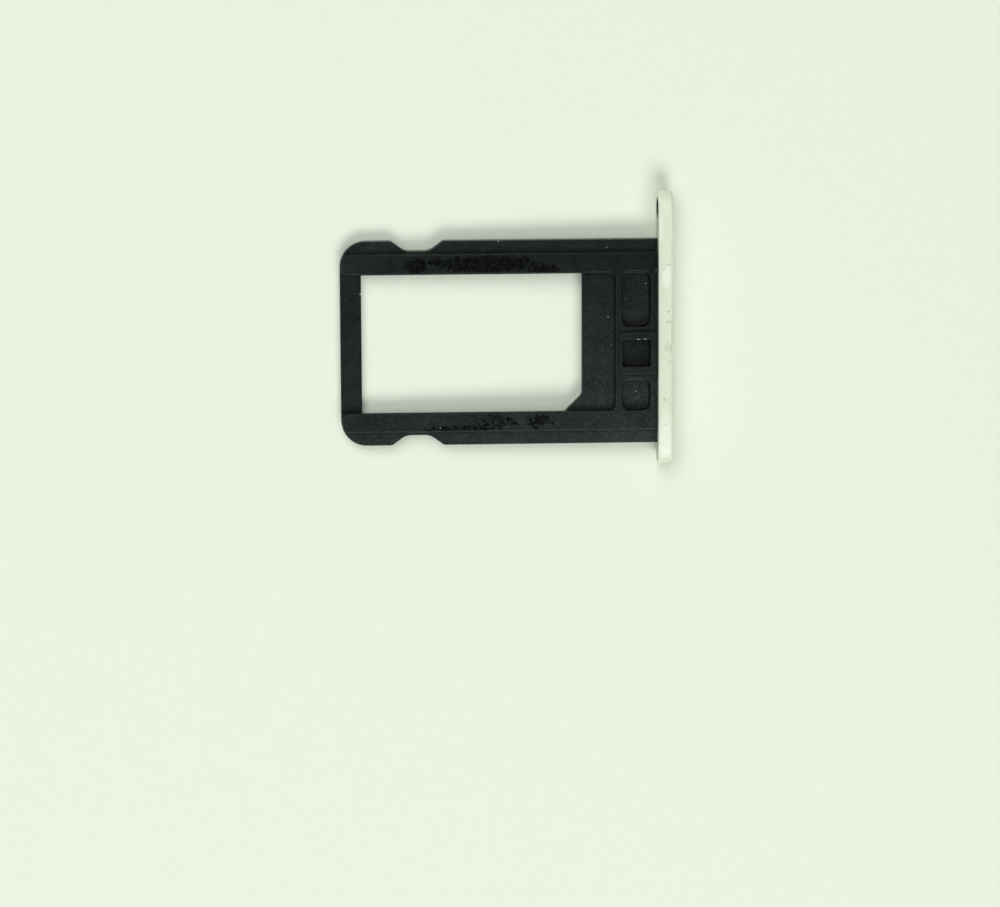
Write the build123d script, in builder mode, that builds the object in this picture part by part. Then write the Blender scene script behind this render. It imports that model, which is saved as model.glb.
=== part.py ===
from build123d import *
from math import radians, tan
import os

# Card tray of a phone: a black moulded tray that carries the card, and the white face plate on its end.
# +X runs from the tray's far end to the plate, +Y along the plate to the eject-pin hole, and +Z up,
# with the guide rails on top. The origin is under the middle of the part's box. Millimetres.

# Card that the tray carries, and the play that it has in its pocket
card_length = 12.30
card_width = 8.80
card_thickness = 0.67
card_end_play = 0.05
card_side_play = 0.06
card_depth_play = 0.03

# Card pocket, open through the floor but for a ledge under each long side of the card
pocket_corner_radius = 0.70
pocket_corner_cut = 1.45
corner_cut_radius = 0.50
pocket_lead_in = 0.05
ledge_width = 0.56

# Tray along X, from the far end to the plate
end_bar = 1.18
web_length = 1.85
block_length = 2.40

# Tray across Y, and the raised U of rails and block
side_margin = 1.875
north_rail_width = 1.20
south_rail_width = 1.13
rail_height = 0.25
rail_setback = 0.07
rail_tip_radius = 0.45
rail_corner_radius = 0.43
recess_drop = 0.16
far_corner_radius = 1.45

# Detent notches in both long edges
notch_from_far_end = 4.32
notch_floor = 1.35
notch_depth = 0.57
notch_slope = 36
notch_floor_radius = 0.90
notch_mouth_radius = 0.35

# Cores in the block: a long one and a small one, with a raised square boss between them
core_plate_wall = 0.43
core_web_wall = 0.40
core_side_wall = 1.13
core_rib = 0.28
core_depth = 0.50
core_radius = 0.50
core_floor_radius = 0.12
small_core_width = 1.78
boss_setback = 0.22
boss_width = 2.42
boss_rise = 0.18
boss_corner_radius = 0.22
boss_edge_radius = 0.08
square_core_width = 1.53
square_core_depth = 0.70
square_core_radius = 0.18
square_core_rim_radius = 0.08

# Softened edges of the moulding
outline_edge_radius = 0.06
raised_edge_radius = 0.10

# Face plate, longer than the tray is wide so that it closes the slot
plate_thickness = 0.82
plate_height = 2.10
plate_below_tray = 0.55
north_overhang = 2.715
south_overhang = 1.195
plate_front_radius = 0.20
plate_back_radius = 0.04
eject_hole_diameter = 1.10

# Sizes that follow from those above
pocket_length = card_length + 2 * card_end_play
pocket_width = card_width + 2 * card_side_play
base_thickness = card_thickness + card_depth_play
window_width = pocket_width - 2 * ledge_width
rail_span = north_rail_width + window_width + south_rail_width
tray_width = window_width + 2 * side_margin
tray_length = end_bar + pocket_length + web_length + block_length
plate_length = south_overhang + tray_width + north_overhang
notch_mouth = notch_floor + 2 * notch_depth / tan(radians(notch_slope))
core_row = rail_span - 2 * core_side_wall
long_core_width = core_row - small_core_width - boss_width - 2 * core_rib
core_length = block_length - core_plate_wall - core_web_wall
boss_length = block_length - boss_setback

# Places that follow from the sizes
far_x = -(tray_length + plate_thickness) / 2
notch_x = far_x + notch_from_far_end
pocket_x = far_x + end_bar + pocket_length / 2
joint_x = far_x + tray_length
block_x = joint_x - block_length
core_x = joint_x - core_plate_wall - core_length / 2
tip_x = far_x + rail_setback
tray_y = (south_overhang - north_overhang) / 2
rails_y = tray_y + (north_rail_width - south_rail_width) / 2
long_core_y = rails_y + (core_row - long_core_width) / 2
boss_y = long_core_y - (long_core_width + boss_width) / 2 - core_rib
small_core_y = rails_y - (core_row - small_core_width) / 2
flat_z = plate_below_tray
base_top = flat_z + base_thickness
recess_floor = base_top - recess_drop
rail_top = base_top + rail_height
core_floor = rail_top - core_depth
boss_top = rail_top + boss_rise
tolerance = 1e-5


def near(shapes, axis, position):
    """The shapes among these whose middle is at this position along the axis."""
    return shapes.filter_by_position(axis, position - tolerance, position + tolerance)


def free_edges(edges):
    """The edges among these that lie clear of the face where the tray meets the plate."""
    return edges.filter_by_position(Axis.X, far_x - tolerance, joint_x - tolerance)


# Tray: one black moulding, a base plate with a raised U on top and the card pocket from below
with BuildPart() as tray:
    # Base plate, with the round corners of the far end and the detent notches
    with BuildSketch(Plane.XY.offset(flat_z)) as outline:
        with Locations((far_x, tray_y)):
            Rectangle(tray_length, tray_width, align=(Align.MIN, Align.CENTER))
        fillet(outline.vertices().group_by(Axis.X)[0], far_corner_radius)
        for side, turn in ((1, 180), (-1, 0)):
            edge_y = tray_y + side * tray_width / 2
            floor_y = edge_y - side * notch_depth
            with Locations((notch_x, edge_y)):
                Trapezoid(
                    notch_mouth, notch_depth, notch_slope, rotation=turn,
                    align=(Align.CENTER, Align.MIN), mode=Mode.SUBTRACT,
                )
            fillet(near(outline.vertices(), Axis.Y, floor_y), notch_floor_radius)
            mouth = near(outline.vertices(), Axis.X, notch_x - notch_mouth / 2)
            mouth += near(outline.vertices(), Axis.X, notch_x + notch_mouth / 2)
            fillet(near(mouth, Axis.Y, edge_y), notch_mouth_radius)
    extrude(amount=base_thickness)
    for face in (tray.faces().sort_by(Axis.Z)[0], tray.faces().sort_by(Axis.Z)[-1]):
        fillet(free_edges(face.edges()), outline_edge_radius)

    # Raised U: a guide rail along each side, and the block that holds the plate
    with BuildSketch(Plane.XY.offset(base_top)):
        add(outline.sketch_local)
        offset(amount=-rail_setback)
        with Locations((joint_x, rails_y)):
            Rectangle(
                tray_length, rail_span,
                align=(Align.MAX, Align.CENTER), mode=Mode.INTERSECT,
            )
            Rectangle(block_length, rail_span, align=(Align.MAX, Align.CENTER))
    extrude(amount=rail_height)

    # Recess between the rails, sunk below the strips outside them
    with BuildPart(mode=Mode.SUBTRACT):
        with BuildSketch(Plane.XY.offset(recess_floor)) as recess_plan:
            with Locations((block_x, tray_y)):
                Rectangle(2 * tray_length, window_width, align=(Align.MAX, Align.CENTER))
            fillet(recess_plan.vertices().group_by(Axis.X)[-1], rail_corner_radius)
        extrude(amount=recess_drop + rail_height)

        # Flare at the tips of the rails
        with BuildSketch(Plane.XY.offset(base_top)) as flare:
            with Locations((pocket_x, tray_y)):
                Rectangle(tray_length, window_width, align=(Align.MAX, Align.CENTER))
            with Locations((tip_x, tray_y)):
                Rectangle(tray_length, tray_width, align=(Align.MAX, Align.CENTER))
            tip_corners = near(flare.vertices(), Axis.X, tip_x).sort_by(Axis.Y)[1:-1]
            fillet(tip_corners, rail_tip_radius)
        extrude(amount=rail_height)

    # Round on the far edge of the recess floor
    with BuildSketch(Plane.XZ.offset(-tray_y)):
        with Locations((far_x, recess_floor)):
            Rectangle(outline_edge_radius, outline_edge_radius, align=(Align.MIN, Align.MAX))
        with Locations((far_x + outline_edge_radius, recess_floor - outline_edge_radius)):
            Circle(outline_edge_radius, mode=Mode.SUBTRACT)
    extrude(amount=window_width / 2, both=True, mode=Mode.SUBTRACT)
    raised_face = tray.faces().sort_by(Axis.Z)[-1]
    fillet(free_edges(raised_face.edges()), raised_edge_radius)

    # Round cores in the block, which keep the moulding's walls even
    with BuildSketch(Plane.XY.offset(rail_top)):
        with Locations((core_x, long_core_y)):
            RectangleRounded(core_length, long_core_width, core_radius)
        with Locations((core_x, small_core_y)):
            RectangleRounded(core_length, small_core_width, core_radius)
    extrude(amount=-core_depth, mode=Mode.SUBTRACT)
    fillet(near(tray.faces().filter_by(Axis.Z), Axis.Z, core_floor).edges(), core_floor_radius)
    raised_face = tray.faces().sort_by(Axis.Z)[-1]
    for core_rim in raised_face.inner_wires():
        fillet(core_rim.edges(), raised_edge_radius)

    # Raised boss with the square core
    with BuildSketch(Plane.XY.offset(rail_top)) as boss:
        with Locations((joint_x, boss_y)):
            Rectangle(boss_length, boss_width, align=(Align.MAX, Align.CENTER))
        fillet(boss.vertices().group_by(Axis.X)[0], boss_corner_radius)
    extrude(amount=boss_rise)
    boss_face = tray.faces().sort_by(Axis.Z)[-1]
    fillet(free_edges(boss_face.edges()), boss_edge_radius)
    with BuildSketch(Plane.XY.offset(boss_top)):
        with Locations((core_x, boss_y)):
            RectangleRounded(core_length, square_core_width, square_core_radius)
    extrude(amount=-square_core_depth, mode=Mode.SUBTRACT)
    boss_face = tray.faces().sort_by(Axis.Z)[-1]
    fillet(boss_face.inner_wires()[0].edges(), square_core_rim_radius)

    # Card pocket through the base, with the card's cut corner and a lead-in round its mouth
    with BuildSketch(Plane.XY.offset(flat_z)) as pocket:
        with Locations((pocket_x, tray_y)):
            Rectangle(pocket_length, pocket_width)
        cut_corner = pocket.vertices().group_by(Axis.X)[-1].sort_by(Axis.Y)[0]
        chamfer(cut_corner, pocket_corner_cut)
        cut_ends = near(pocket.vertices(), Axis.X, pocket_x + pocket_length / 2 - pocket_corner_cut)
        cut_ends += near(pocket.vertices(), Axis.Y, tray_y - pocket_width / 2 + pocket_corner_cut)
        round_corners = pocket.vertices() - cut_ends
        fillet(round_corners, pocket_corner_radius)
        cut_ends = near(pocket.vertices(), Axis.X, pocket_x + pocket_length / 2 - pocket_corner_cut)
        cut_ends += near(pocket.vertices(), Axis.Y, tray_y - pocket_width / 2 + pocket_corner_cut)
        fillet(cut_ends, corner_cut_radius)
    extrude(amount=base_thickness, mode=Mode.SUBTRACT)
    with BuildSketch(Plane.XY.offset(flat_z)):
        add(pocket.sketch_local)
        with Locations((pocket_x, tray_y)):
            Rectangle(pocket_length, window_width, mode=Mode.INTERSECT)
    extrude(amount=base_thickness + rail_height, mode=Mode.SUBTRACT)
    flat_face = tray.faces().sort_by(Axis.Z)[0]
    chamfer(flat_face.inner_wires()[0].edges(), pocket_lead_in)

# Face plate: a white pill with the eject-pin hole at the middle of one round end
with BuildPart() as plate:
    with BuildSketch(Plane.YZ.offset(joint_x)):
        with Locations((0, plate_height / 2)):
            SlotOverall(plate_length, plate_height)
        with Locations(((plate_length - plate_height) / 2, plate_height / 2)):
            Circle(eject_hole_diameter / 2, mode=Mode.SUBTRACT)
    extrude(amount=plate_thickness)
    fillet(plate.faces().sort_by(Axis.X)[-1].outer_wire().edges(), plate_front_radius)
    fillet(plate.faces().sort_by(Axis.X)[0].outer_wire().edges(), plate_back_radius)

os.makedirs("parts", exist_ok=True)
tray.part.label = "tray_frame"
plate.part.label = "face_plate"
export_step(tray.part, "parts/tray_frame.step")
export_step(plate.part, "parts/face_plate.step")
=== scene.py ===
import bpy
from mathutils import Matrix, Vector

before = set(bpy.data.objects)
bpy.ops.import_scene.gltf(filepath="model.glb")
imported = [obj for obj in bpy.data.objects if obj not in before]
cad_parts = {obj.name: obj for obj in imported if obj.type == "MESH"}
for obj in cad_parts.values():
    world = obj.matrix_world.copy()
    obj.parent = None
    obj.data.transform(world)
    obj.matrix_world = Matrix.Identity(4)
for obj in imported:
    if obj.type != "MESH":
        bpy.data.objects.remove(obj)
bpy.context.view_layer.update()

# Tray frame: one injection moulding that carries the card, in black glass-filled nylon.
# The mould was spark-eroded, so the faces are evenly matt with a fine grain, and the guide rails
# are rubbed smooth and dark where the slot's springs press on them.
MM = 0.001


def linear(code):
    """A sRGB hex colour as the linear colour that a shader takes."""
    parts = [int(code[i:i + 2], 16) / 255 for i in (1, 3, 5)]
    return tuple(c / 12.92 if c <= 0.04045 else ((c + 0.055) / 1.055) ** 2.4 for c in parts) + (1.0,)


def add(tree, kind, inputs=None, **settings):
    """Adds a node with these settings. Each input is a value or a socket to link from."""
    node = tree.nodes.new(kind)
    for name, value in settings.items():
        setattr(node, name, value)
    for name, value in (inputs or {}).items():
        if isinstance(value, bpy.types.NodeSocket):
            tree.links.new(value, node.inputs[name])
        else:
            node.inputs[name].default_value = value
    return node


nylon_dark = "#131816"
nylon_light = "#2f3734"
rubbed_black = "#060707"
speck_and_glint_grey = "#c6ccc4"
grain_mm = 0.13
mottle_mm = 1.4
rub_grain_mm = 0.16
rub_cloud_mm = 0.55
grain_relief_mm = 0.010
grain_relief_strength = 0.6
grain_tint_share = 0.25
mottle_share = 0.5
tone_low, tone_high = 0.45, 1.05
matt_roughness = 0.30
rubbed_roughness = 0.22
corner_roughness = 0.4
nylon_ior = 1.52
nylon_specular = 0.12
rail_top = 1.50
# The rails' tops are polished by sliding: the heights where that starts and where it is full
polished_from, polished_to = rail_top - 0.12, rail_top - 0.02
polished_share = 0.80
# Painted light: the front side of the moulding is painted lighter, and most so near the plate: the line
# between the sides, the tone on it, how much lighter each millimetre to the front is, and how that grows
# with each millimetre towards the plate
painted_light_middle = -1.0
painted_light_tone = 0.87
painted_light_gain = 1.062
painted_light_growth = 0.06
# Recesses with painted shade: the middle and half sizes of each along X and Y, how far the painted black
# shade of its corners reaches in from its front wall and from its plate side, and the painted shade tone
# of its floor
painted_shade_recesses = [
    (4.780, -0.760, 1.325, 3.900, 0.40, 0.16, 0.95),
    (-8.735, -0.760, 0.590, 3.900, 0.30, 0.02, 0.76),
    (7.290, 1.655, 0.785, 1.555, 0.42, 0.15, 1.0),
    (7.290, -1.390, 0.785, 0.765, 0.40, 0.18, 0.72),
    (7.290, -3.770, 0.785, 0.890, 0.48, 0.15, 0.95),
]
# How much of the colour the painted corner shade leaves
painted_corner_shade_share = 0.40
any_height = 10.0
# A rub mark fades in between these shares of its size, and its edge is broken up by a grain and a cloud
rub_outer, rub_inner = 1.15, 0.30
rub_depth = 0.12
rub_grain_share = 0.8
rub_cloud_share = 0.6
rub_starts, rub_full = 0.94, 1.16
pit_low, pit_high = 0.38, 0.62
rubbed_in_pits = 0.55
# Each rub mark has its middle along X and Y, its half length and half width, all in millimetres,
# and how much of it is rubbed through
rub_marks = [
    (-5.02, 3.66, 0.80, 0.66, 0.66),
    (-3.90, 3.86, 0.90, 0.40, 0.58),
    (-1.10, 3.72, 3.70, 0.60, 0.72),
    (1.95, 3.42, 1.40, 0.42, 0.54),
    (-2.50, -5.60, 3.40, 0.26, 0.56),
    (-0.60, -5.20, 1.80, 0.66, 0.45),
    (1.80, -5.12, 1.20, 0.68, 0.48),
]
dot_outer, dot_inner = 1.4, 0.4
# Each speck of dust or bare nick, and each painted glint, has its place and its radius, in millimetres,
# and its share
specks_and_glints = [
    (5.65, 4.57, 1.25, 0.030, 0.50),
    (7.87, 2.49, 1.00, 0.030, 0.60),
    (8.40, 3.30, 1.50, 0.032, 0.50),
    (6.67, 1.60, 1.00, 0.026, 0.40),
    (5.73, 0.60, 1.09, 0.036, 0.50),
    (6.04, -1.86, 1.50, 0.026, 0.40),
    (5.89, -0.99, 1.09, 0.022, 0.40),
    (5.39, -1.27, 1.09, 0.024, 0.30),
    (8.25, -4.00, 1.50, 0.024, 0.30),
    (7.29, -3.65, 1.00, 0.032, 0.50),
    (-3.76, -5.53, 1.50, 0.034, 0.55),
    # These four are painted glints on the back rim of the square core
    (7.38, -0.62, 1.67, 0.055, 1.00),
    (7.46, -0.62, 1.67, 0.040, 0.80),
    (7.74, -0.62, 1.67, 0.055, 0.80),
    (7.82, -0.62, 1.67, 0.045, 0.80),
    (-8.17, 2.05, 1.09, 0.050, 0.80),
    (-0.44, 4.99, 1.24, 0.045, 0.60),
    (5.77, -5.78, 1.50, 0.030, 0.50),
]

nylon = bpy.data.materials.new("black_moulded_nylon")
nylon.use_nodes = True
tree = nylon.node_tree
shader = tree.nodes["Principled BSDF"]
place = add(tree, "ShaderNodeTexCoord").outputs["Object"]
place = add(tree, "ShaderNodeVectorMath", {0: place, "Scale": 1 / MM}, operation="SCALE").outputs[0]
grain = add(
    tree, "ShaderNodeTexNoise",
    {"Vector": place, "Scale": 1 / grain_mm, "Detail": 2.0, "Roughness": 0.6},
)
mottle = add(
    tree, "ShaderNodeTexNoise",
    {"Vector": place, "Scale": 1 / mottle_mm, "Detail": 3.0, "Roughness": 0.55},
).outputs["Fac"]
rub_grain = add(
    tree, "ShaderNodeTexNoise",
    {"Vector": place, "Scale": 1 / rub_grain_mm, "Detail": 2.0, "Roughness": 0.6},
).outputs["Fac"]
rub_cloud = add(
    tree, "ShaderNodeTexNoise",
    {"Vector": place, "Scale": 1 / rub_cloud_mm, "Detail": 2.0, "Roughness": 0.6},
).outputs["Fac"]

rubbed = None
for x, y, half_length, half_width, share in rub_marks:
    away = add(
        tree, "ShaderNodeVectorMath", {0: place, 1: (x, y, rail_top)}, operation="SUBTRACT",
    ).outputs[0]
    away = add(
        tree, "ShaderNodeVectorMath", {0: away, 1: (half_length, half_width, rub_depth)},
        operation="DIVIDE",
    ).outputs[0]
    away = add(tree, "ShaderNodeVectorMath", {0: away}, operation="LENGTH").outputs["Value"]
    mark = add(
        tree, "ShaderNodeMapRange",
        {"Value": away, "From Min": rub_outer, "From Max": rub_inner, "To Min": 0.0, "To Max": share},
    ).outputs["Result"]
    if rubbed is None:
        rubbed = mark
    else:
        rubbed = add(tree, "ShaderNodeMath", {0: rubbed, 1: mark}, operation="MAXIMUM").outputs[0]
rubbed = add(
    tree, "ShaderNodeMath", {0: rub_grain, 1: rub_grain_share, 2: rubbed}, operation="MULTIPLY_ADD",
).outputs[0]
rubbed = add(
    tree, "ShaderNodeMath", {0: rub_cloud, 1: rub_cloud_share, 2: rubbed}, operation="MULTIPLY_ADD",
).outputs[0]
rubbed = add(
    tree, "ShaderNodeMapRange",
    {"Value": rubbed, "From Min": rub_starts, "From Max": rub_full, "To Min": 0.0, "To Max": 1.0},
    interpolation_type="SMOOTHSTEP",
).outputs["Result"]
left_in_pits = add(
    tree, "ShaderNodeMapRange",
    {"Value": rub_grain, "From Min": pit_low, "From Max": pit_high,
     "To Min": rubbed_in_pits, "To Max": 1.0},
).outputs["Result"]
rubbed = add(tree, "ShaderNodeMath", {0: rubbed, 1: left_in_pits}, operation="MULTIPLY").outputs[0]

dust_and_glints = None
for x, y, z, radius, share in specks_and_glints:
    away = add(
        tree, "ShaderNodeVectorMath", {0: place, 1: (x, y, z)}, operation="DISTANCE",
    ).outputs["Value"]
    dot_mark = add(
        tree, "ShaderNodeMapRange",
        {"Value": away, "From Min": radius * dot_outer, "From Max": radius * dot_inner,
         "To Min": 0.0, "To Max": share},
    ).outputs["Result"]
    if dust_and_glints is None:
        dust_and_glints = dot_mark
    else:
        dust_and_glints = add(tree, "ShaderNodeMath", {0: dust_and_glints, 1: dot_mark}, operation="MAXIMUM").outputs[0]

tone = add(
    tree, "ShaderNodeMath", {0: mottle, 1: mottle_share, 2: grain.outputs["Fac"]},
    operation="MULTIPLY_ADD",
).outputs[0]
tone = add(
    tree, "ShaderNodeMapRange",
    {"Value": tone, "From Min": tone_low, "From Max": tone_high, "To Min": 0.0, "To Max": 1.0},
).outputs["Result"]
colour = add(
    tree, "ShaderNodeMix", {0: tone, 6: linear(nylon_dark), 7: linear(nylon_light)}, data_type="RGBA",
).outputs[2]
colour = add(
    tree, "ShaderNodeMix", {0: grain_tint_share, 6: colour, 7: grain.outputs["Color"]},
    data_type="RGBA", blend_type="SOFT_LIGHT",
).outputs[2]
spot = add(tree, "ShaderNodeSeparateXYZ", {0: place}).outputs
polished = add(
    tree, "ShaderNodeMapRange",
    {"Value": spot["Z"], "From Min": polished_from, "From Max": polished_to,
     "To Min": 1.0, "To Max": polished_share},
).outputs["Result"]
# Painted light: the colour is scaled lighter towards the front side, most so near the plate, and then
# darkened on the polished rail tops
growth = add(
    tree, "ShaderNodeMath", {0: spot["X"], 1: painted_light_growth, 2: 1.0}, operation="MULTIPLY_ADD",
).outputs[0]
in_front = add(tree, "ShaderNodeMath", {0: painted_light_middle, 1: spot["Y"]}, operation="SUBTRACT").outputs[0]
painted_light_shade_and_polish = add(tree, "ShaderNodeMath", {0: in_front, 1: growth}, operation="MULTIPLY").outputs[0]
painted_light_shade_and_polish = add(tree, "ShaderNodeMath", {0: painted_light_gain, 1: painted_light_shade_and_polish}, operation="POWER").outputs[0]
painted_light_shade_and_polish = add(tree, "ShaderNodeMath", {0: painted_light_shade_and_polish, 1: painted_light_tone}, operation="MULTIPLY").outputs[0]
painted_light_shade_and_polish = add(tree, "ShaderNodeMath", {0: painted_light_shade_and_polish, 1: polished}, operation="MULTIPLY").outputs[0]
# Painted shade: the front-wall and plate-side corners of each recess are painted black, and its floor is
# painted darker
painted_shade = None
for x, y, half_x, half_y, front_reach, plate_reach, floor_shade_tone in painted_shade_recesses:
    inside = add(
        tree, "ShaderNodeVectorMath", {0: place, 1: (x, y, 0.0)}, operation="SUBTRACT",
    ).outputs[0]
    inside = add(
        tree, "ShaderNodeVectorMath", {0: inside, 1: (half_x, half_y, any_height)}, operation="DIVIDE",
    ).outputs[0]
    share = add(tree, "ShaderNodeSeparateXYZ", {0: inside}).outputs
    from_front = add(
        tree, "ShaderNodeMapRange",
        {"Value": share["Y"], "From Min": front_reach / half_y - 1.0, "From Max": -1.0},
    ).outputs["Result"]
    from_plate = add(
        tree, "ShaderNodeMapRange",
        {"Value": share["X"], "From Min": 1.0 - plate_reach / half_x, "From Max": 1.0},
    ).outputs["Result"]
    corner_shade = add(tree, "ShaderNodeMath", {0: from_front, 1: from_plate}, operation="MAXIMUM").outputs[0]
    inside = add(tree, "ShaderNodeVectorMath", {0: inside}, operation="ABSOLUTE").outputs[0]
    share = add(tree, "ShaderNodeSeparateXYZ", {0: inside}).outputs
    inside = add(tree, "ShaderNodeMath", {0: share["X"], 1: share["Y"]}, operation="MAXIMUM").outputs[0]
    inside = add(tree, "ShaderNodeMath", {0: inside, 1: 1.0}, operation="LESS_THAN").outputs[0]
    corner_shade = add(tree, "ShaderNodeMath", {0: corner_shade, 1: inside}, operation="MULTIPLY").outputs[0]
    floor_shade = add(
        tree, "ShaderNodeMapRange", {"Value": inside, "To Min": 1.0, "To Max": floor_shade_tone},
    ).outputs["Result"]
    painted_light_shade_and_polish = add(tree, "ShaderNodeMath", {0: painted_light_shade_and_polish, 1: floor_shade}, operation="MULTIPLY").outputs[0]
    if painted_shade is None:
        painted_shade = corner_shade
    else:
        painted_shade = add(tree, "ShaderNodeMath", {0: painted_shade, 1: corner_shade}, operation="MAXIMUM").outputs[0]
corner_shade_factor = add(
    tree, "ShaderNodeMapRange", {"Value": painted_shade, "To Min": 1.0, "To Max": painted_corner_shade_share},
).outputs["Result"]
painted_light_shade_and_polish = add(tree, "ShaderNodeMath", {0: painted_light_shade_and_polish, 1: corner_shade_factor}, operation="MULTIPLY").outputs[0]
colour = add(tree, "ShaderNodeVectorMath", {0: colour, "Scale": painted_light_shade_and_polish}, operation="SCALE").outputs[0]
colour = add(
    tree, "ShaderNodeMix", {0: rubbed, 6: colour, 7: linear(rubbed_black)}, data_type="RGBA",
).outputs[2]
# Dust specks, bare nicks and painted glints are mixed into the colour
colour = add(
    tree, "ShaderNodeMix", {0: dust_and_glints, 6: colour, 7: linear(speck_and_glint_grey)}, data_type="RGBA",
).outputs[2]
roughness = add(
    tree, "ShaderNodeMapRange",
    {"Value": rubbed, "From Min": 0.0, "From Max": 1.0,
     "To Min": matt_roughness, "To Max": rubbed_roughness},
).outputs["Result"]
roughness = add(
    tree, "ShaderNodeMath", {0: painted_shade, 1: corner_roughness, 2: roughness}, operation="MULTIPLY_ADD",
).outputs[0]
relief = add(
    tree, "ShaderNodeBump",
    {"Strength": grain_relief_strength, "Distance": grain_relief_mm * MM, "Height": grain.outputs["Fac"]},
).outputs["Normal"]
tree.links.new(colour, shader.inputs["Base Color"])
tree.links.new(roughness, shader.inputs["Roughness"])
tree.links.new(relief, shader.inputs["Normal"])
shader.inputs["IOR"].default_value = nylon_ior
shader.inputs["Specular IOR Level"].default_value = nylon_specular
tray_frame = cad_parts["tray_frame"]
for material_slot in tray_frame.material_slots:
    material_slot.material = nylon

# Face plate: the small white cover that closes the slot, moulded in polished polycarbonate.
# It is bonded to the end of the tray, its faces have a soft gloss worn by handling, with faint yellowish
# stains near the outer edge, bluish-white marks of painted sheen, round ends and an outer edge painted
# lighter as painted light, and brown grime with painted shade in the eject-pin hole.
white_clean = "#e2ead6"
white_shade = "#d6dfc7"
painted_sheen_white = "#eef7e8"
painted_light_white = "#f1fce2"
stain_straw = "#c3ba88"
stain_olive = "#8f8a63"
stain_red = "#c0a080"
speck_brown = "#57452f"
grime_and_shade_brown = "#2e1a12"
orange_peel_mm = 0.7
cloud_mm = 2.2
ragged_mm = 0.22
orange_peel_relief_mm = 0.01
orange_peel_strength = 0.3
cloud_low, cloud_high = 0.3, 0.7
roughness_low, roughness_high = 0.40, 0.50
plate_ior = 1.58
plate_specular = 0.35
# Light spreads inside the white plastic
spread_share = 0.8
spread_mm = 0.5
plate_top = 2.10
# The round ends and the outer edge are painted lighter, as painted light: where that starts, where it is
# full, and its share at the front end and along the edge
painted_light_end_from, painted_light_end_to = 6.75, 7.45
painted_light_edge_from, painted_light_edge_to = 9.20, 9.31
painted_light_front_share = 0.3
painted_light_edge_share = 0.7
# Brown grime and painted shade fill the hole, and they are thickest on its upper side
hole_place = (8.915, 6.74, 1.05)
hole_radius = 0.58
grime_and_shade_rim_mm = 0.08
# A mark fades in between these shares of its size, which a ragged noise adds to
mark_outer, mark_inner = 1.7, 0.9
mark_depth_mm = 0.35
# Each mark has its middle and its half sizes along X and Y, in millimetres, its colour and its share
marks = [
    # These three bluish-white marks are painted sheen
    ((8.60, 5.90), (0.10, 1.20), painted_sheen_white, 0.5),
    ((8.97, 2.98), (0.34, 0.75), painted_sheen_white, 0.6),
    ((8.87, -6.30), (0.50, 1.70), painted_sheen_white, 0.7),
    ((9.05, 3.65), (0.26, 0.10), stain_olive, 0.20),
    ((8.82, 3.42), (0.14, 0.10), stain_olive, 0.18),
    ((8.98, -0.95), (0.24, 0.34), stain_olive, 0.16),
    ((9.08, 0.42), (0.22, 0.11), stain_straw, 0.50),
    ((9.26, -0.29), (0.08, 0.75), stain_straw, 0.60),
    ((9.18, -1.14), (0.10, 0.26), stain_olive, 0.25),
    ((9.12, -1.82), (0.18, 0.11), stain_red, 0.25),
    ((9.10, -4.14), (0.16, 0.24), stain_straw, 0.20),
    ((9.06, 1.01), (0.06, 0.06), speck_brown, 0.60),
    ((8.74, 2.24), (0.05, 0.06), speck_brown, 0.20),
    ((8.82, -3.98), (0.07, 0.15), stain_olive, 0.40),
    ((8.93, -5.39), (0.07, 0.07), stain_olive, 0.35),
]

polycarbonate = bpy.data.materials.new("white_polished_polycarbonate")
polycarbonate.use_nodes = True
tree = polycarbonate.node_tree
shader = tree.nodes["Principled BSDF"]
place = add(tree, "ShaderNodeTexCoord").outputs["Object"]
place = add(tree, "ShaderNodeVectorMath", {0: place, "Scale": 1 / MM}, operation="SCALE").outputs[0]
cloud = add(
    tree, "ShaderNodeTexNoise",
    {"Vector": place, "Scale": 1 / cloud_mm, "Detail": 4.0, "Roughness": 0.6},
).outputs["Fac"]
peel = add(
    tree, "ShaderNodeTexNoise", {"Vector": place, "Scale": 1 / orange_peel_mm, "Detail": 1.0},
).outputs["Fac"]
ragged = add(
    tree, "ShaderNodeTexNoise",
    {"Vector": place, "Scale": 1 / ragged_mm, "Detail": 3.0, "Roughness": 0.6},
).outputs["Fac"]
from_axis = add(
    tree, "ShaderNodeVectorMath", {0: place, 1: hole_place}, operation="SUBTRACT",
).outputs[0]
from_axis = add(
    tree, "ShaderNodeVectorMath", {0: from_axis, 1: (0.0, 1.0, 1.0)}, operation="MULTIPLY",
).outputs[0]
from_axis = add(tree, "ShaderNodeVectorMath", {0: from_axis}, operation="LENGTH").outputs["Value"]
grime_and_shade = add(
    tree, "ShaderNodeMapRange",
    {"Value": from_axis, "From Min": hole_radius + grime_and_shade_rim_mm, "From Max": hole_radius,
     "To Min": 0.0, "To Max": 1.0},
).outputs["Result"]
colour = add(
    tree, "ShaderNodeMix", {0: cloud, 6: linear(white_shade), 7: linear(white_clean)}, data_type="RGBA",
).outputs[2]
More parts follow.
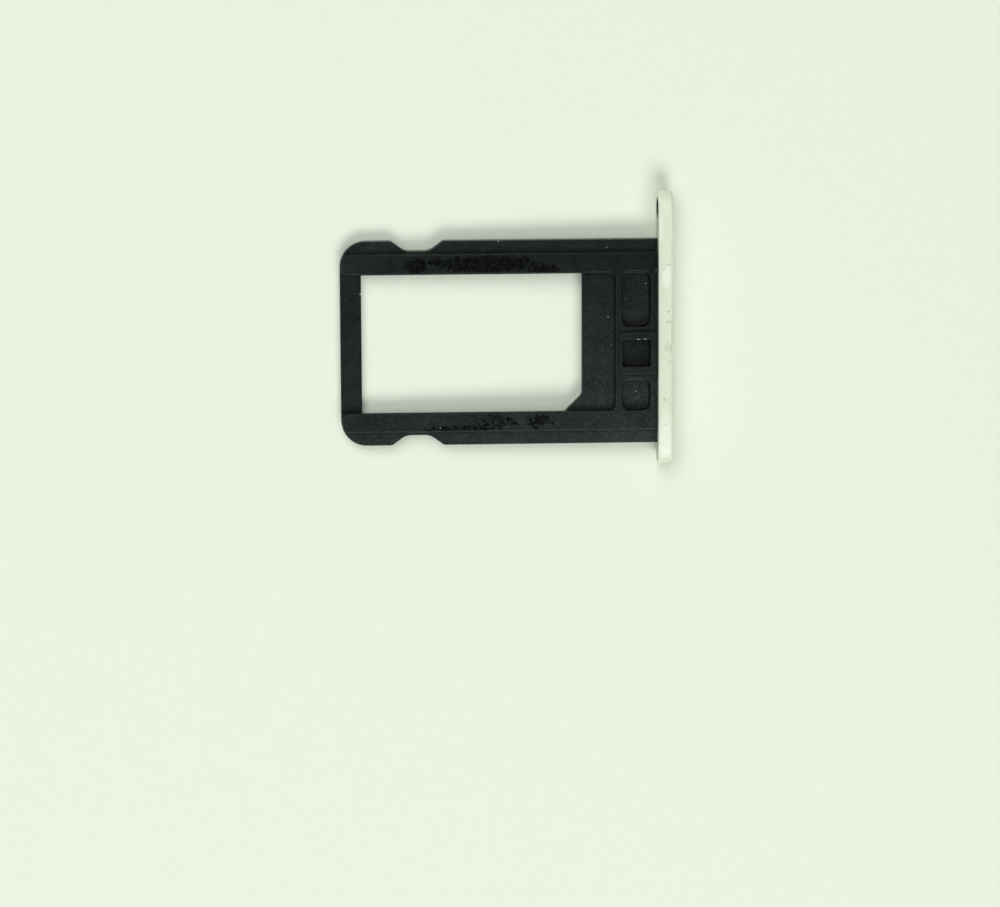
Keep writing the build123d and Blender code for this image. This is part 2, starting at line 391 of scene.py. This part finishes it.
for (x, y), (half_x, half_y), mark_colour, share in marks:
    away = add(
        tree, "ShaderNodeVectorMath", {0: place, 1: (x, y, plate_top)}, operation="SUBTRACT",
    ).outputs[0]
    away = add(
        tree, "ShaderNodeVectorMath", {0: away, 1: (half_x, half_y, mark_depth_mm)}, operation="DIVIDE",
    ).outputs[0]
    away = add(tree, "ShaderNodeVectorMath", {0: away}, operation="LENGTH").outputs["Value"]
    away = add(tree, "ShaderNodeMath", {0: away, 1: ragged}, operation="ADD").outputs[0]
    mark = add(
        tree, "ShaderNodeMapRange",
        {"Value": away, "From Min": mark_outer, "From Max": mark_inner, "To Min": 0.0, "To Max": share},
        interpolation_type="SMOOTHSTEP",
    ).outputs["Result"]
    colour = add(
        tree, "ShaderNodeMix", {0: mark, 6: colour, 7: linear(mark_colour)}, data_type="RGBA",
    ).outputs[2]
spot = add(tree, "ShaderNodeSeparateXYZ", {0: place}).outputs
# Painted light: the back round end, less so the front end, and the outer edge are painted lighter
painted_light_mask = add(
    tree, "ShaderNodeMapRange",
    {"Value": spot["Y"], "From Min": painted_light_end_from, "From Max": painted_light_end_to,
     "To Min": 0.0, "To Max": 1.0},
).outputs["Result"]
front_painted_light = add(
    tree, "ShaderNodeMapRange",
    {"Value": spot["Y"], "From Min": -painted_light_end_from, "From Max": -painted_light_end_to,
     "To Min": 0.0, "To Max": painted_light_front_share},
).outputs["Result"]
painted_light_mask = add(tree, "ShaderNodeMath", {0: painted_light_mask, 1: front_painted_light}, operation="MAXIMUM").outputs[0]
edge_painted_light = add(
    tree, "ShaderNodeMapRange",
    {"Value": spot["X"], "From Min": painted_light_edge_from, "From Max": painted_light_edge_to,
     "To Min": 0.0, "To Max": painted_light_edge_share},
).outputs["Result"]
painted_light_mask = add(tree, "ShaderNodeMath", {0: painted_light_mask, 1: edge_painted_light}, operation="MAXIMUM").outputs[0]
colour = add(
    tree, "ShaderNodeMix", {0: painted_light_mask, 6: colour, 7: linear(painted_light_white)}, data_type="RGBA",
).outputs[2]
# Brown grime and painted shade in the eject-pin hole
colour = add(
    tree, "ShaderNodeMix", {0: grime_and_shade, 6: colour, 7: linear(grime_and_shade_brown)}, data_type="RGBA",
).outputs[2]
roughness = add(
    tree, "ShaderNodeMapRange",
    {"Value": cloud, "From Min": cloud_low, "From Max": cloud_high,
     "To Min": roughness_low, "To Max": roughness_high},
).outputs["Result"]
relief = add(
    tree, "ShaderNodeBump",
    {"Strength": orange_peel_strength, "Distance": orange_peel_relief_mm * MM, "Height": peel},
).outputs["Normal"]
tree.links.new(colour, shader.inputs["Base Color"])
tree.links.new(roughness, shader.inputs["Roughness"])
tree.links.new(relief, shader.inputs["Normal"])
shader.inputs["IOR"].default_value = plate_ior
shader.inputs["Specular IOR Level"].default_value = plate_specular
shader.inputs["Subsurface Weight"].default_value = spread_share
shader.inputs["Subsurface Radius"].default_value = (1.0, 1.0, 1.0)
shader.inputs["Subsurface Scale"].default_value = spread_mm * MM
face_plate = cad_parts["face_plate"]
for material_slot in face_plate.material_slots:
    material_slot.material = polycarbonate

# Table: a sheet of matt white card. The tray rests on it by the lower edge of the face plate and by
# its far end, so the card lies at a small slope to the tray. Light that spreads inside the card
# lifts its shadows, so part of its white is given to camera rays without shade.
card_white = "#e5ecdc"
card_shade = "#e0e7d6"
card_glow = "#f2f8ea"
glow_share = 0.05
card_fibre_mm = 0.5
card_roughness = 0.9
card_specular = 0.1
card_half = 1.5
plate_foot_x = 8.545 * MM
far_end_x = -9.225 * MM
far_end_z = 0.55 * MM
slope = far_end_z / (plate_foot_x - far_end_x)

sheet = bpy.data.meshes.new("card_sheet")
corners = [(sx * card_half, sy * card_half) for sx, sy in ((-1, -1), (1, -1), (1, 1), (-1, 1))]
sheet.from_pydata([(x, y, (plate_foot_x - x) * slope) for x, y in corners], [], [(0, 1, 2, 3)])
table = bpy.data.objects.new("card_sheet", sheet)
bpy.context.scene.collection.objects.link(table)
card = bpy.data.materials.new("matt_white_card")
card.use_nodes = True
tree = card.node_tree
shader = tree.nodes["Principled BSDF"]
place = add(tree, "ShaderNodeTexCoord").outputs["Object"]
fibre = add(
    tree, "ShaderNodeTexNoise",
    {"Vector": place, "Scale": 1 / (card_fibre_mm * MM), "Detail": 4.0, "Roughness": 0.7},
).outputs["Fac"]
colour = add(
    tree, "ShaderNodeMix", {0: fibre, 6: linear(card_shade), 7: linear(card_white)}, data_type="RGBA",
).outputs[2]
path = add(tree, "ShaderNodeLightPath")
seen = add(
    tree, "ShaderNodeMath", {0: path.outputs["Is Camera Ray"], 1: path.outputs["Is Glossy Ray"]},
    operation="MAXIMUM",
).outputs[0]
glow = add(tree, "ShaderNodeMath", {0: seen, 1: glow_share}, operation="MULTIPLY").outputs[0]
tree.links.new(colour, shader.inputs["Base Color"])
tree.links.new(glow, shader.inputs["Emission Strength"])
shader.inputs["Emission Color"].default_value = linear(card_glow)
shader.inputs["Roughness"].default_value = card_roughness
shader.inputs["Specular IOR Level"].default_value = card_specular
sheet.materials.append(card)

# Light: soft boxes halfway up, strong ones in front and behind, weaker ones at the sides, and a dim even
# room. Straight above, where the camera is held, there is no lamp.
# Each soft box has its place in metres, its width and height, and its power in watts
soft_boxes = [
    ("front_soft_box", (0.062, -0.349, 0.421), (0.30, 0.26), 1.88),
    ("back_soft_box", (-0.095, 0.293, 0.456), (0.34, 0.34), 1.46),
    ("left_soft_box", (-0.258, 0.000, 0.486), (0.26, 0.26), 0.42),
    ("right_soft_box", (0.258, 0.000, 0.486), (0.20, 0.20), 0.20),
]
for name, position, (width, height), power in soft_boxes:
    soft_box = bpy.data.lights.new(name, "AREA")
    soft_box.shape = "RECTANGLE"
    soft_box.size = width
    soft_box.size_y = height
    soft_box.energy = power
    box = bpy.data.objects.new(name, soft_box)
    box.location = position
    box.rotation_euler = (-box.location).to_track_quat("-Z", "Y").to_euler()
    bpy.context.scene.collection.objects.link(box)
room_white = "#ffffff"
room_strength = 0.05
room = bpy.data.worlds.new("dim_room")
room.use_nodes = True
room.node_tree.nodes["Background"].inputs["Color"].default_value = linear(room_white)
room.node_tree.nodes["Background"].inputs["Strength"].default_value = room_strength
bpy.context.scene.world = room
bpy.context.scene.view_settings.view_transform = "Standard"

# Camera: almost straight above the tray, about 24 centimetres away, leaning a little to the side of the
# eject-pin hole.
eye = Vector((-11.657, 31.899, 235.990)) * MM
right = Vector((0.99880, -0.00465, 0.04867))
up = Vector((0.01254, 0.98652, -0.16314))
back = Vector((-0.04726, 0.16355, 0.98540))
lens = bpy.data.cameras.new("camera")
lens.sensor_fit = "HORIZONTAL"
lens.sensor_width = 36.0
lens.lens = 152.0
lens.clip_start = 0.005
camera = bpy.data.objects.new("camera", lens)
turn = Matrix((right, up, back)).transposed().to_4x4()
camera.matrix_world = Matrix.Translation(eye) @ turn
bpy.context.scene.collection.objects.link(camera)
bpy.context.scene.camera = camera
